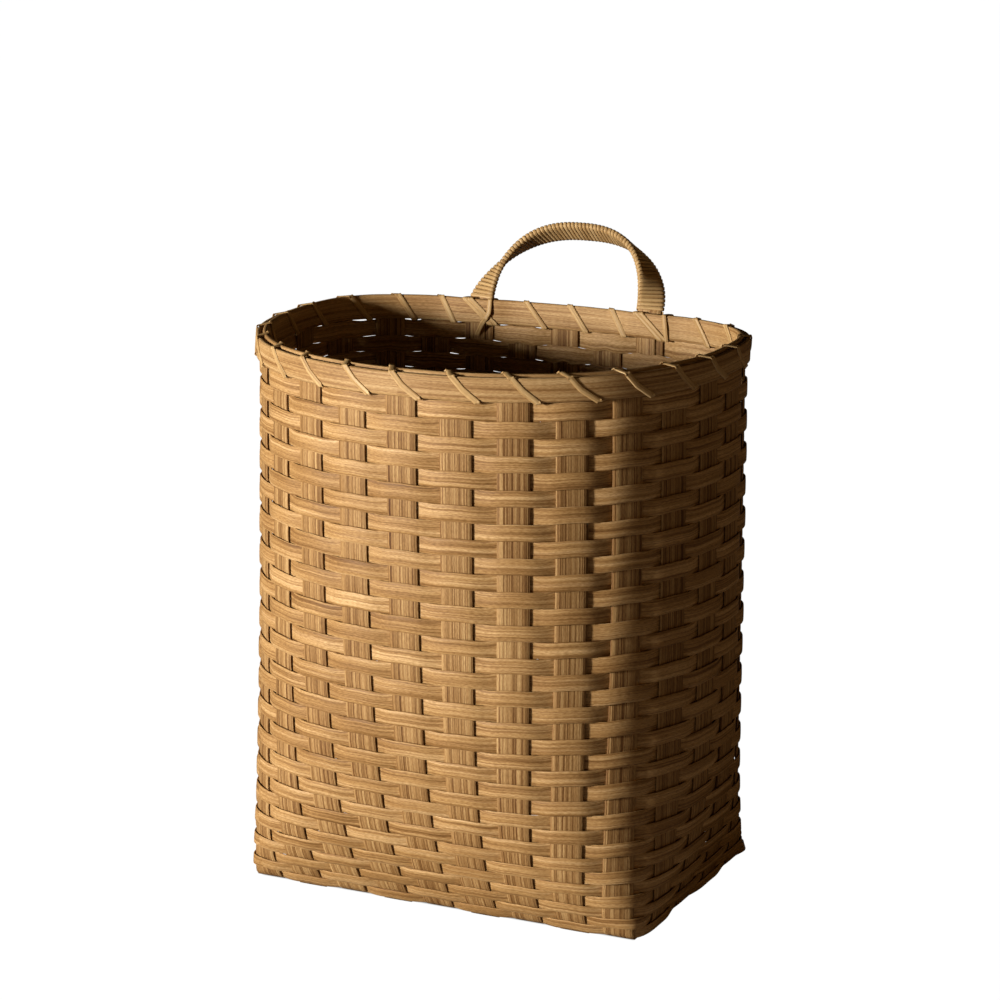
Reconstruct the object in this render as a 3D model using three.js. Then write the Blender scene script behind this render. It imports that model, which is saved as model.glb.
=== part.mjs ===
import * as THREE from 'three';

// Pack basket of flat wood splint, in millimetres, +Z up, its bulging front towards -Y.
// Upright stakes cross on the base and rise as the walls. Thin weavers go round them, over one and
// under one. Two hoops clamp the stake ends at the rim and are bound on with cane. A twisted handle,
// wrapped in cane, stands at the back and leans away from the basket.

// Splints
const stakeShare = 0.131; // width of a stake against half the rim's length
const stakeThickness = 1.4;
const weaverThickness = 1.1;
const clearance = 0.3; // left between any two pieces that touch
const weaveClearance = 0.6; // left between a weaver and the edges of a stake

// Wall
const wallHeight = 458.5;
const rowCount = 35;
const rowPacking = 0.082; // the share by which rows at the rim are taller than the mean row
const packingPower = 4.2; // the higher it is, the nearer the floor the rows get flatter
const rowGap = 0.5;
const rowsPerFacet = 5; // fewer near the floor, where the wall curves most
const facetsPerStep = 3; // facets of one height, before they grow by another row

// Plan of the wall: a round-fronted oval that squares off towards the base
const rimHalfLength = 206;
const rimFrontDepth = 188;
const rimBackDepth = 120;
const sideBulge = 8; // the belly stands out past the rim at the sides
const frontHollow = 1.3; // and the front and the back are a little hollow below the rim
const backHollow = 1.5;
const baseSideInset = 20.5; // the base is smaller than the rim, but for its back edge
const baseFrontInset = 62.5;
const frontRoundness = 2.13; // exponent of the oval: 2 is an ellipse, more is squarer
const backRoundness = 3.3;
const bellyRoundness = 2.25;
const baseRoundness = 40;
const squaringHeight = 86.3; // the rise over which the wall leaves the outline of the base
const squaringPower = 1.07;

// Stakes
const stakesAlongFront = 9;
const stakesAlongSide = 4;
const frontCornerRoom = 4; // from the edge of an end stake to the corner of the base
const sideCornerRoom = 24.5;
const frontSpacing = 1.039; // pitch at the rim, against the mean pitch there
const backSpacing = 0.915;
const spreadPower = 3; // the higher it is, the nearer the floor the stakes spread to their places
const baseBend = 3; // length over which a stake turns up from the base

// Rim
const outerHoopHeight = 20;
const innerHoopHeight = 22;
const hoopThickness = 4;
const hoopLift = 2; // height of the hoops above the top row, where the lashing goes through
const fillerHeight = 3;
const fillerDrop = 0.5; // depth of the filler below the top of the outer hoop

// Cane
const caneThickness = 1.2;
const caneClearance = 0.5;
const wrapClearance = 0.65; // the wrap turns round a twisted strip and needs a little more
const caneBend = 0.8; // cut across each corner that a cane turns round
const lashingWidth = 4;
const tieWidth = 3;
const tieGap = 1.4; // between a leg's stake and the tie that goes through beside it
const wrapWidth = 3.2;
const wrapTurns = 22;

// Handle
const legStakeCount = 4; // stakes from one leg to the other
const handleShift = 4; // the handle and the back stakes stand this far to the right of the centre
const handleRise = 71.5; // along the lean
const handleLean = THREE.MathUtils.degToRad(27);
const handleSideLean = THREE.MathUtils.degToRad(4.5); // to the right, so that the legs differ a little
const handleTwist = THREE.MathUtils.degToRad(104); // from the foot to the crown
const twistEase = 0.85;
const archSideRoundness = 2.5;
const archTopRoundness = 1.84;
const coreWidth = 22;
const coreThickness = 4;
const coreRimThickness = 2.5;
const coreSwell = 8; // rise over which the core thickens above the rim
const tailWidth = 12;
const tailThickness = 1.5;
const tailRows = 4;
const archSteps = 56;
const wrapStart = 9; // height of the first turn above the rim, along the lean

// Colours
const stakeWood = { color: 0xc9a877, roughness: 0.62, metalness: 0 };
const weaverWood = { color: 0xd8b987, roughness: 0.6, metalness: 0 };
const hoopWood = { color: 0xcdb083, roughness: 0.55, metalness: 0 };
const cane = { color: 0xe2cba0, roughness: 0.5, metalness: 0 };

const { lerp } = THREE.MathUtils;
const stakeCount = 2 * (stakesAlongFront + stakesAlongSide);

// Base and belly
const bellyHalfLength = rimHalfLength + sideBulge;
const bellyFrontDepth = rimFrontDepth - frontHollow;
const bellyBackDepth = rimBackDepth - backHollow;
const baseHalfLength = rimHalfLength - baseSideInset;
const baseFrontDepth = rimFrontDepth - baseFrontInset;
const baseBackDepth = rimBackDepth;
const stakeWidth = stakeShare * rimHalfLength;
const baseFrontRun = 2 * (baseHalfLength - frontCornerRoom) - stakeWidth;
const baseSideRun = baseFrontDepth + baseBackDepth - 2 * sideCornerRoom - stakeWidth;
const baseFrontPitch = baseFrontRun / (stakesAlongFront - 1);
const baseSidePitch = baseSideRun / (stakesAlongSide - 1);

// Heights
const baseLow = stakeThickness / 2;
const baseHigh = baseLow + stakeThickness + clearance;
const wallFoot = baseHigh + stakeThickness / 2 + clearance;
const wallTop = wallFoot + wallHeight;
const hoopFoot = wallTop + hoopLift;
const outerHoopTop = hoopFoot + outerHoopHeight;
const innerHoopTop = hoopFoot + innerHoopHeight;
const fillerTop = outerHoopTop - fillerDrop;
const stakeTop = fillerTop - fillerHeight - clearance;

// Height of the joint under a row, with row 1 at the top. The joint under row 0 is the wall's top.
function jointHeight(row) {
  const share = row / rowCount;
  return wallTop - wallHeight * share * (1 + rowPacking * (1 - share ** packingPower));
}

// The wall's plan at a height, as points anticlockwise from the middle of the front, with the
// distance walked along the plan to each point.
const planSteps = 720;
function planAt(z) {
  const height = Math.max(0, z - wallFoot);
  const up = height / wallHeight;
  const square = Math.exp(-((height / squaringHeight) ** squaringPower));
  const blend = (base, belly, rim) => lerp(lerp(belly, rim, up), base, square);
  const power = (rim) => 1 / lerp(1 / lerp(bellyRoundness, rim, up), 1 / baseRoundness, square);
  const halfLength = blend(baseHalfLength, bellyHalfLength, rimHalfLength);
  const frontDepth = blend(baseFrontDepth, bellyFrontDepth, rimFrontDepth);
  const backDepth = blend(baseBackDepth, bellyBackDepth, rimBackDepth);
  const frontPower = power(frontRoundness);
  const backPower = power(backRoundness);
  const points = [];
  const walked = [0];
  for (let step = 0; step <= planSteps; step += 1) {
    const angle = -Math.PI / 2 + (2 * Math.PI * step) / planSteps;
    const across = step % (planSteps / 2) ? Math.cos(angle) : 0;
    const along = Math.sin(angle);
    const depth = along < 0 ? frontDepth : backDepth;
    const exponent = 2 / (along < 0 ? frontPower : backPower);
    const x = halfLength * Math.sign(across) * Math.abs(across) ** exponent;
    const y = depth * Math.sign(along) * Math.abs(along) ** exponent;
    points.push(new THREE.Vector2(x, y));
    if (step > 0) walked.push(walked[step - 1] + points[step].distanceTo(points[step - 1]));
  }
  return { points, walked, girth: walked[planSteps] };
}

// Share of the girth at which one coordinate of the plan passes a value, between two steps.
function shareWhere(plan, axis, value, fromStep, toStep) {
  for (let step = fromStep; step < toStep; step += 1) {
    const here = plan.points[step][axis] - value;
    const next = plan.points[step + 1][axis] - value;
    if (here * next <= 0 && here !== next) {
      return lerp(plan.walked[step], plan.walked[step + 1], here / (here - next)) / plan.girth;
    }
  }
  throw new Error('a stake stands beyond the end of its wall');
}

function planPoint(plan, share) {
  const goal = (((share % 1) + 1) % 1) * plan.girth;
  let step = 1;
  while (plan.walked[step] < goal && step < planSteps) step += 1;
  const part = (goal - plan.walked[step - 1]) / (plan.walked[step] - plan.walked[step - 1]);
  return plan.points[step - 1].clone().lerp(plan.points[step], part);
}

const meanPitch = planAt(wallTop).girth / stakeCount;
const rimFrontPitch = meanPitch * frontSpacing;
const rimBackPitch = meanPitch * backSpacing;

// Stakes are numbered anticlockwise from the left end of the front: front, right, back, left.
const firstRight = stakesAlongFront;
const firstBack = firstRight + stakesAlongSide;
const firstLeft = firstBack + stakesAlongFront;
const baseMiddle = (baseBackDepth - baseFrontDepth) / 2;
const frontPlace = (index) => (index - (stakesAlongFront - 1) / 2) * baseFrontPitch;
const sidePlace = (index) => baseMiddle + (index - (stakesAlongSide - 1) / 2) * baseSidePitch;

// Share of the girth where each stake meets the base, and where it meets the rim.
function stakeShares() {
  const base = planAt(wallFoot);
  const rim = planAt(wallTop);
  const quarter = planSteps / 4;
  const frontEnd = ((stakesAlongFront - 1) / 2) * rimFrontPitch;
  const backEnd = ((stakesAlongFront - 1) / 2) * rimBackPitch;
  const rimBackStart = rim.girth / 2 - handleShift - backEnd;
  const rimBackStop = rim.girth / 2 - handleShift + backEnd;
  const shares = [];
  for (let i = 0; i < stakesAlongFront; i += 1) {
    const x = frontPlace(i);
    const half = shareWhere(base, 'x', Math.abs(x), 0, quarter);
    const rimDistance = (i - (stakesAlongFront - 1) / 2) * rimFrontPitch;
    shares[i] = { base: Math.sign(x) * half, rim: rimDistance / rim.girth };
    const back = shareWhere(base, 'x', Math.abs(x), quarter, 2 * quarter);
    const backDistance = rimBackStart + i * rimBackPitch;
    shares[firstBack + i] = { base: x > 0 ? 1 - back : back, rim: backDistance / rim.girth };
  }
  for (let i = 0; i < stakesAlongSide; i += 1) {
    const half = shareWhere(base, 'y', sidePlace(i), 0, 2 * quarter);
    const part = (i + 1) / (stakesAlongSide + 1);
    shares[firstRight + i] = { base: half, rim: lerp(frontEnd, rimBackStart, part) / rim.girth };
    const left = lerp(rim.girth - frontEnd, rimBackStop, part) / rim.girth;
    shares[stakeCount - 1 - i] = { base: 1 - half, rim: left };
  }
  return shares;
}
const shares = stakeShares();

// The wall is a set of flat facets. They meet along the middles of the stakes, and along one more line
// at each corner, which starts at the corner of the base and ends midway between two stakes at the rim.
const slots = [];
const cornerAfter = [firstRight - 1, firstBack - 1, firstLeft - 1, stakeCount - 1];
const basePlan = planAt(wallFoot);
for (let i = 0; i < stakeCount; i += 1) {
  slots.push({ stake: i, ...shares[i] });
  const turn = cornerAfter.indexOf(i);
  if (turn >= 0) {
    const next = shares[(i + 1) % stakeCount].rim + (i + 1 === stakeCount ? 1 : 0);
    const base = basePlan.walked[((2 * turn + 1) * planSteps) / 8] / basePlan.girth;
    slots.push({ corner: i, base, rim: (shares[i].rim + next) / 2 });
  }
}
const slotOfStake = (index) => slots.findIndex((slot) => slot.stake === index);
const wrapIndex = (index, count) => ((index % count) + count) % count;

// One ring of facet corners at a height, each with the move that shifts both its facets out by 1 mm.
function facetRing(z) {
  const plan = planAt(z);
  const spread = 1 - (1 - (z - wallFoot) / wallHeight) ** spreadPower;
  const corners = slots.map((slot) => planPoint(plan, lerp(slot.base, slot.rim, spread)));
  const out = corners.map((corner, i) => {
    const before = corner.clone().sub(corners[wrapIndex(i - 1, corners.length)]).normalize();
    const after = corners[wrapIndex(i + 1, corners.length)].clone().sub(corner).normalize();
    const normal = new THREE.Vector2(before.y + after.y, -before.x - after.x).normalize();
    return normal.divideScalar(normal.x * after.y - normal.y * after.x);
  });
  return { z, corners, out };
}

// Facets meet at row joints, so that no weaver lies across a fold of the wall.
const facetRows = [];
for (let row = rowCount, step = 1; row > 0; step += 1) {
  facetRows.push(row);
  row -= Math.min(Math.ceil(step / facetsPerStep), rowsPerFacet);
}
facetRows.push(0);
const rings = facetRows.map((row) => facetRing(jointHeight(row)));

// The ring at any height, between the two facet rings round it.
function ringAt(z) {
  const top = rings.length - 1;
  if (z >= rings[top].z) return { ...rings[top], z };
  let level = 0;
  while (level < top - 1 && rings[level + 1].z < z) level += 1;
  const low = rings[level];
  const high = rings[level + 1];
  const part = (z - low.z) / (high.z - low.z);
  return {
    z,
    corners: low.corners.map((corner, i) => corner.clone().lerp(high.corners[i], part)),
    out: low.out.map((move, i) => move.clone().lerp(high.out[i], part)),
  };
}

function pointOn(ring, slot, offset) {
  const at = ring.corners[slot].clone().addScaledVector(ring.out[slot], offset);
  return new THREE.Vector3(at.x, at.y, ring.z);
}

// A closed solid through a row of sections that all have the same number of points. The first half of
// each section is one face of the strip and the second half is the other face, in reverse. Both faces
// are split along the same diagonals, so that the strip keeps its thickness where it twists.
function solidThrough(sections, closed) {
  const size = sections[0].length;
  const count = sections.length;
  const positions = sections.flat().flatMap((point) => [point.x, point.y, point.z]);
  const index = [];
  for (let i = 0; i < (closed ? count : count - 1); i += 1) {
    const next = (i + 1) % count;
    for (let k = 0; k < size; k += 1) {
      const side = (k + 1) % size;
      const [a, b, c, d] = [i * size + k, next * size + k, next * size + side, i * size + side];
      if (k < size / 2) index.push(a, b, c, a, c, d);
      else index.push(a, b, d, b, c, d);
    }
  }
  if (!closed) {
    const last = (count - 1) * size;
    for (let k = 0; k < size / 2 - 1; k += 1) {
      const far = size - 1 - k;
      index.push(k, k + 1, far - 1, k, far - 1, far);
      index.push(last + k, last + far - 1, last + k + 1, last + k, last + far, last + far - 1);
    }
  }
  if (signedVolume(positions, index) < 0) {
    for (let i = 0; i < index.length; i += 3) [index[i + 1], index[i + 2]] = [index[i + 2], index[i + 1]];
  }
  const geometry = new THREE.BufferGeometry();
  geometry.setAttribute('position', new THREE.Float32BufferAttribute(positions, 3));
  geometry.setIndex(index);
  geometry.computeVertexNormals();
  return geometry;
}

function signedVolume(positions, index) {
  const corner = (i) => new THREE.Vector3().fromArray(positions, 3 * i);
  let volume = 0;
  for (let i = 0; i < index.length; i += 3) {
    const [a, b, c] = [corner(index[i]), corner(index[i + 1]), corner(index[i + 2])];
    volume += a.dot(b.cross(c)) / 6;
  }
  return volume;
}

const basket = new THREE.Group();
function add(name, geometry, finish) {
  const mesh = new THREE.Mesh(geometry, new THREE.MeshStandardMaterial(finish));
  mesh.name = name;
  basket.add(mesh);
}

// Section of an upright strip on the wall: bent along the two facets that meet at its slot, its outer
// face first. It is named from the left as seen by someone who walks the strip from front to back.
function uprightSection(ring, slot, offset, width, thickness, mirrored) {
  const count = ring.corners.length;
  const corner = ring.corners[slot];
  const edge = (step) => {
    const along = ring.corners[wrapIndex(slot + step, count)].clone().sub(corner).normalize();
    return { along, normal: new THREE.Vector2(along.y, -along.x).multiplyScalar(step) };
  };
  const sides = mirrored ? [edge(1), edge(-1)] : [edge(-1), edge(1)];
  const at = (side, shift) => {
    const point = corner.clone().addScaledVector(side.along, width / 2);
    point.addScaledVector(side.normal, shift);
    return new THREE.Vector3(point.x, point.y, ring.z);
  };
  const outer = offset + thickness / 2;
  const inner = offset - thickness / 2;
  return [
    at(sides[0], outer), pointOn(ring, slot, outer), at(sides[1], outer),
    at(sides[1], inner), pointOn(ring, slot, inner), at(sides[0], inner),
  ];
}

// Section of a strip that lies on the base, its lower face first.
function baseSection(middle, across, z) {
  const at = (side, rise) => new THREE.Vector3(
    middle.x + side * across.x,
    middle.y + side * across.y,
    z + rise,
  );
  const half = stakeWidth / 2;
  const low = -stakeThickness / 2;
  const high = stakeThickness / 2;
  return [at(-half, low), at(0, low), at(half, low), at(half, high), at(0, high), at(-half, high)];
}

// One stake: down a wall, across the base over one strip and under the next, and up the far wall.
// The crossings are the middles of the strips that it meets, each with the height it crosses at.
function stakeSolid(startStake, endStake, crossings) {
  const bottom = rings[0];
  const start = bottom.corners[slotOfStake(startStake)];
  const end = bottom.corners[slotOfStake(endStake)];
  const along = end.clone().sub(start).normalize();
  const across = new THREE.Vector2(-along.y, along.x).negate();
  const up = [...rings, { ...rings[rings.length - 1], z: stakeTop }];
  const wall = (stake, mirrored) => up.map(
    (ring) => uprightSection(ring, slotOfStake(stake), 0, stakeWidth, stakeThickness, mirrored),
  );
  const flat = [];
  const reach = stakeWidth / 2 + clearance;
  const lay = (distance, z) => {
    flat.push(baseSection(start.clone().addScaledVector(along, distance), across, z));
  };
  lay(baseBend, crossings[0].z);
  for (const { distance, z } of crossings) {
    lay(distance - reach, z);
    lay(distance + reach, z);
  }
  lay(start.distanceTo(end) - baseBend, crossings[crossings.length - 1].z);
  return solidThrough([...wall(startStake, false).reverse(), ...flat, ...wall(endStake, true)], false);
}

function addStakes() {
  const bottom = rings[0];
  for (let i = 0; i < stakesAlongFront; i += 1) {
    const near = bottom.corners[slotOfStake(i)];
    const crossings = [];
    for (let j = 0; j < stakesAlongSide; j += 1) {
      crossings.push({ distance: sidePlace(j) - near.y, z: (i + j) % 2 ? baseLow : baseHigh });
    }
    const solid = stakeSolid(i, firstLeft - 1 - i, crossings);
    add(`stake_front_to_back_${i + 1}`, solid, stakeWood);
  }
  for (let j = 0; j < stakesAlongSide; j += 1) {
    const near = bottom.corners[slotOfStake(stakeCount - 1 - j)];
    const crossings = [];
    for (let i = 0; i < stakesAlongFront; i += 1) {
      crossings.push({ distance: frontPlace(i) - near.x, z: (i + j) % 2 ? baseHigh : baseLow });
    }
    const solid = stakeSolid(stakeCount - 1 - j, firstRight + j, crossings);
    add(`stake_end_to_end_${j + 1}`, solid, stakeWood);
  }
}

// Legs of the handle stand at two of the back stakes.
const backMiddle = firstBack + (stakesAlongFront - 1) / 2;
const legStakes = [backMiddle + legStakeCount / 2, backMiddle - legStakeCount / 2];

const settlingPasses = 60;
const twistShare = 0.12; // the part of a facet's twist that a weaver keeps clear of

// The facets from one stake to the next.
function facetsAfter(index) {
  const from = slotOfStake(index);
  const steps = wrapIndex(slotOfStake((index + 1) % stakeCount) - from, slots.length);
  return Array.from({ length: steps }, (_, k) => [from + k, wrapIndex(from + k + 1, slots.length)]);
}

// Distance along the wall from each stake to the next.
function gapsAlong(ring) {
  return shares.map((_, i) => facetsAfter(i).reduce(
    (walk, [from, to]) => walk + ring.corners[from].distanceTo(ring.corners[to]),
    0,
  ));
}

// How far the wall between each stake and the next twists from one ring to another.
function twistsBetween(low, high) {
  const facetOf = (ring, from, to) => ring.corners[to].clone().sub(ring.corners[from]);
  return shares.map((_, i) => Math.max(...facetsAfter(i).map(([from, to]) => {
    const facet = facetOf(low, from, to);
    return Math.abs(facet.cross(facetOf(high, from, to))) / facet.length();
  })));
}

// How far a weaver stands off the wall's middle at each stake, so that it clears the edges of a stake
// while it runs straight from the outside of one to the inside of the next. Round a bend of the wall it
// starts its slant earlier. A steeper neighbour asks for more, so the need is passed on until it settles.
// The need is the greater of those at the lower and the upper edge of the row, and more where the wall
// twists between them.
function weaverOffsets(edges, row) {
  const atEdge = (stakeThickness + weaverThickness) / 2 + weaveClearance;
  const atTail = atEdge + tailThickness + clearance;
  const offsets = new Array(stakeCount).fill(atEdge);
  const settle = (i, ring, gap, far, need, width) => {
    const lead = offsets[i] * Math.sqrt(Math.max(0, ring.out[slotOfStake(i)].lengthSq() - 1));
    const slope = (width / 2 + lead) / gap;
    offsets[i] = Math.max(offsets[i], (need + offsets[far] * slope) / (1 - slope));
  };
  const walls = edges.map((ring) => ({ ring, gaps: gapsAlong(ring) }));
  const twists = twistsBetween(...edges).map((twist) => twist * twistShare);
  for (let pass = 0; pass < settlingPasses; pass += 1) {
    for (const { ring, gaps } of walls) {
      for (let i = 0; i < stakeCount; i += 1) {
        const next = (i + 1) % stakeCount;
        const last = wrapIndex(i - 1, stakeCount);
        settle(i, ring, gaps[i], next, atEdge + twists[i], stakeWidth);
        settle(i, ring, gaps[last], last, atEdge + twists[last], stakeWidth);
        if (legStakes.includes(i) && row <= tailRows) {
          settle(i, ring, gaps[i], next, atTail, tailWidth);
          settle(i, ring, gaps[last], last, atTail, tailWidth);
        }
      }
    }
  }
  return offsets;
}

// Section of a strip that stands on edge and runs round the wall.
function bandSection(lowRing, highRing, slot, offset, thickness) {
  const outer = offset + thickness / 2;
  const inner = offset - thickness / 2;
  return [
    pointOn(lowRing, slot, outer), pointOn(highRing, slot, outer),
    pointOn(highRing, slot, inner), pointOn(lowRing, slot, inner),
  ];
}

function addWeavers() {
  for (let row = 1; row <= rowCount; row += 1) {
    const low = ringAt(jointHeight(row) + rowGap / 2);
    const high = ringAt(jointHeight(row - 1) - rowGap / 2);
    const offsets = weaverOffsets([low, high], row);
    const signed = (index) => {
      const stake = wrapIndex(index, stakeCount);
      return (stake + row) % 2 ? -offsets[stake] : offsets[stake];
    };
    const sections = slots.map((slot, i) => {
      const before = low.corners[wrapIndex(i - 1, slots.length)].distanceTo(low.corners[i]);
      const after = low.corners[wrapIndex(i + 1, slots.length)].distanceTo(low.corners[i]);
      const part = slot.stake === undefined ? before / (before + after) : 0;
      const own = slot.stake ?? slot.corner;
      const offset = lerp(signed(own), signed(own + 1), part);
      return bandSection(low, high, i, offset, weaverThickness);
    });
    const number = String(row).padStart(2, '0');
    add(`weaver_row_${number}`, solidThrough(sections, true), weaverWood);
  }
}

// Rim. Its plan is that of the wall's top, and a place on it is a stake number with a fraction.
const rim = ringAt(wallTop);
const rimCorner = (index) => slotOfStake(wrapIndex(index, stakeCount));
function rimPoint(place, offset, z) {
  const before = Math.floor(place);
  const first = rimCorner(before);
  const facets = wrapIndex(rimCorner(before + 1) - first, slots.length);
  const facet = Math.floor((place - before) * facets);
  const offsetAt = typeof offset === 'function' ? offset : () => offset;
  const corner = (step) => {
    const own = lerp(offsetAt(before), offsetAt(before + 1), step / facets);
    return pointOn({ ...rim, z }, wrapIndex(first + step, slots.length), own);
  };
  return corner(facet).lerp(corner(facet + 1), (place - before) * facets - facet);
}
const rimNudge = 0.05;
function rimAlong(place) {
  return rimPoint(place + rimNudge, 0, 0).sub(rimPoint(place - rimNudge, 0, 0)).normalize();
}

// Offsets of the hoops' middles. The inner hoop stands off further where it passes a handle leg.
const hoopOffset = stakeThickness / 2 + clearance + hoopThickness / 2;
const legShare = (coreWidth / 2 + clearance) / rimBackPitch;
const legRoom = (coreRimThickness + 2 * clearance) / (1 - legShare);
function innerHoopOffset(index) {
  const bulge = legStakes.includes(wrapIndex(index, stakeCount)) ? legRoom : 0;
  return -(hoopOffset + bulge);
}

function rimBand(bottom, top, offsetAt, thickness) {
  const low = { ...rim, z: bottom };
  const high = { ...rim, z: top };
  const sections = slots.map((slot, i) => bandSection(low, high, i, offsetAt(slot.stake), thickness));
  return solidThrough(sections, true);
}

function addHoops() {
  const outer = rimBand(hoopFoot, outerHoopTop, () => hoopOffset, hoopThickness);
  add('rim_outer_hoop', outer, hoopWood);
  const inner = rimBand(hoopFoot, innerHoopTop, innerHoopOffset, hoopThickness);
  add('rim_inner_hoop', inner, hoopWood);
  const filler = rimBand(fillerTop - fillerHeight, fillerTop, () => 0, stakeThickness);
  add('rim_filler', filler, stakeWood);
}

// A flat cane along a path of points, each with the direction of the cane's width there. Its
// thickness stands square to both, and is mitred where the path turns.
function caneSections(path, width) {
  return path.map(({ point, wide }, i) => {
    const faces = [];
    if (i > 0) faces.push(faceNormal(path[i - 1].point, point, wide));
    if (i < path.length - 1) faces.push(faceNormal(point, path[i + 1].point, wide));
    const thick = faces.reduce((sum, face) => sum.add(face), new THREE.Vector3()).normalize();
    thick.multiplyScalar(caneThickness / 2 / thick.dot(faceNormalOf(faces, path, i)));
    const side = wide.clone().multiplyScalar(width / 2);
    return [
      point.clone().sub(side).add(thick), point.clone().add(side).add(thick),
      point.clone().add(side).sub(thick), point.clone().sub(side).sub(thick),
    ];
  });
}
function faceNormal(from, to, wide) {
  return new THREE.Vector3().crossVectors(wide, to.clone().sub(from)).normalize();
}
function faceNormalOf(faces, path, i) {
  const from = path[Math.max(i - 1, 0)].point;
  return faceNormal(from, path[Math.max(i - 1, 0) + 1].point, path[i].wide);
}

// Least gap of a wound cane to itself, between points spread over its four edges. Steps of the path
// that follow each other round one bend are left out.
const gapSamples = 5;
const nearSteps = 3;
function leastGap(sections) {
  const marks = [];
  for (let i = 0; i < sections.length - 1; i += 1) {
    for (let part = 0; part < gapSamples; part += 1) {
      for (let k = 0; k < 4; k += 1) {
        const mark = sections[i][k].clone().lerp(sections[i + 1][k], part / gapSamples);
        marks.push({ step: i + part / gapSamples, at: mark });
      }
    }
  }
  let least = Infinity;
  for (let a = 0; a < marks.length; a += 1) {
    for (let b = a + 1; b < marks.length; b += 1) {
      if (marks[b].step - marks[a].step > nearSteps) {
        least = Math.min(least, marks[a].at.distanceToSquared(marks[b].at));
      }
    }
  }
  return Math.sqrt(least);
}

function addCane(name, path, width) {
  const sections = caneSections(path, width);
  console.log(`${name}: least gap to itself ${leastGap(sections).toFixed(2)} mm`);
  add(name, solidThrough(sections, false), cane);
}

// Faces that a rim cane runs on: distance from the wall's middle, outside and inside, and the heights.
const caneStand = caneClearance + caneThickness / 2;
const outsideFace = hoopOffset + hoopThickness / 2 + caneStand;
const insideFace = (index) => innerHoopOffset(index) - hoopThickness / 2 - caneStand;
const caneFoot = hoopFoot - caneStand;
const outsideTop = outerHoopTop + caneStand;
const insideTop = innerHoopTop + caneStand;
const shifted = (offsetAt, shift) => (index) => offsetAt(index) + shift;

// Parts of a turn round the rim. Each place is a stake number with a fraction.
function rimStop(place, offset, z) {
  return { point: rimPoint(place, offset, z), wide: rimAlong(place) };
}
function through(place) {
  return [rimStop(place, outsideFace, caneFoot), rimStop(place, insideFace, caneFoot)];
}
function over(insidePlace, outsidePlace) {
  return [
    rimStop(insidePlace, insideFace, insideTop - caneBend),
    rimStop(insidePlace, shifted(insideFace, caneBend), insideTop),
    rimStop((insidePlace + outsidePlace) / 2, 0, insideTop),
    rimStop(outsidePlace, outsideFace - caneBend, outsideTop),
    rimStop(outsidePlace, outsideFace, outsideTop - caneBend),
  ];
}

// The lashing goes through the wall in every gap between stakes, slants up the inside, and crosses the
// top over a stake before it slants down the outside.
const topCrossing = 0.12;
function lashingPath(firstGap, gapCount) {
  const path = [...through(firstGap + 0.5)];
  for (let i = 1; i < gapCount; i += 1) {
    const stake = firstGap + i;
    path.push(...over(stake - topCrossing, stake + topCrossing), ...through(stake + 0.5));
  }
  return path;
}

// A tie goes through beside a leg, crosses the leg's face up to its other side, comes round the rim
// there, and crosses back over itself.
function tiePath(leg) {
  const beside = (stakeWidth / 2 + tieWidth / 2 + tieGap) / rimBackPitch;
  const left = leg - beside;
  const right = leg + beside;
  const middle = (caneFoot + innerHoopTop) / 2;
  const above = caneThickness + 2 * clearance;
  const start = through(left);
  const down = rimStop(left, outsideFace, (caneFoot + outerHoopTop) / 2);
  return [
    ...start,
    rimStop(leg, insideFace, middle),
    ...over(right, right),
    ...through(right),
    rimStop(leg, shifted(insideFace, -above), middle),
    ...over(left, left),
    down,
  ];
}

function addLashings() {
  const frontGaps = stakeCount - legStakeCount;
  addCane('rim_lashing_front', lashingPath(legStakes[0], frontGaps), lashingWidth);
  addCane('rim_lashing_back', lashingPath(legStakes[1], legStakeCount), lashingWidth);
  addCane('handle_tie_left', tiePath(legStakes[0]), tieWidth);
  addCane('handle_tie_right', tiePath(legStakes[1]), tieWidth);
}

// Handle. Its feet stand in the rim between the stakes and the inner hoop.
const rimCoreOffset = -(stakeThickness / 2 + clearance + coreRimThickness / 2);
const tailOffset = -(stakeThickness / 2 + clearance + tailThickness / 2);
const footOf = (leg) => pointOn({ ...rim, z: outerHoopTop }, rimCorner(leg), rimCoreOffset);
const leftFoot = footOf(legStakes[0]);
const rightFoot = footOf(legStakes[1]);
const archMiddle = leftFoot.clone().lerp(rightFoot, 0.5);
const spread = rightFoot.clone().sub(leftFoot).normalize();
const leanUp = new THREE.Vector3(0, Math.sin(handleLean), Math.cos(handleLean))
  .multiplyScalar(Math.cos(handleSideLean));
leanUp.x = Math.sin(handleSideLean);
const leanBack = new THREE.Vector3().crossVectors(leanUp, spread).normalize();
const halfSpan = leftFoot.distanceTo(rightFoot) / 2;

// The arch at an angle from 0 at the left foot to pi at the right one, and its rise along the lean.
const riseAt = (angle) => handleRise * Math.sin(angle) ** (2 / archTopRoundness);
function archPoint(angle) {
  const across = Math.cos(angle);
  const out = Math.sign(across) * Math.abs(across) ** (2 / archSideRoundness);
  const point = archMiddle.clone().addScaledVector(spread, -halfSpan * out);
  return point.addScaledVector(leanUp, riseAt(angle));
}

// Frame of the strip there. Its width turns from the arch's own plane at the feet to square across it
// near the crown, and past that, so that the rear edge of the crown hangs lower than the front edge.
const archNudge = 0.002;
function archFrame(angle) {
  const before = archPoint(Math.max(angle - archNudge, 0));
  const after = archPoint(Math.min(angle + archNudge, Math.PI));
  const along = after.sub(before).normalize();
  const outward = new THREE.Vector3().crossVectors(along, leanBack).normalize();
  const turn = handleTwist * (riseAt(angle) / handleRise) ** twistEase;
  const wide = outward.clone().multiplyScalar(Math.cos(turn)).addScaledVector(leanBack, Math.sin(turn));
  const thick = new THREE.Vector3().crossVectors(along, wide).normalize();
  return { point: archPoint(angle), along, wide, thick };
}

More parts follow.
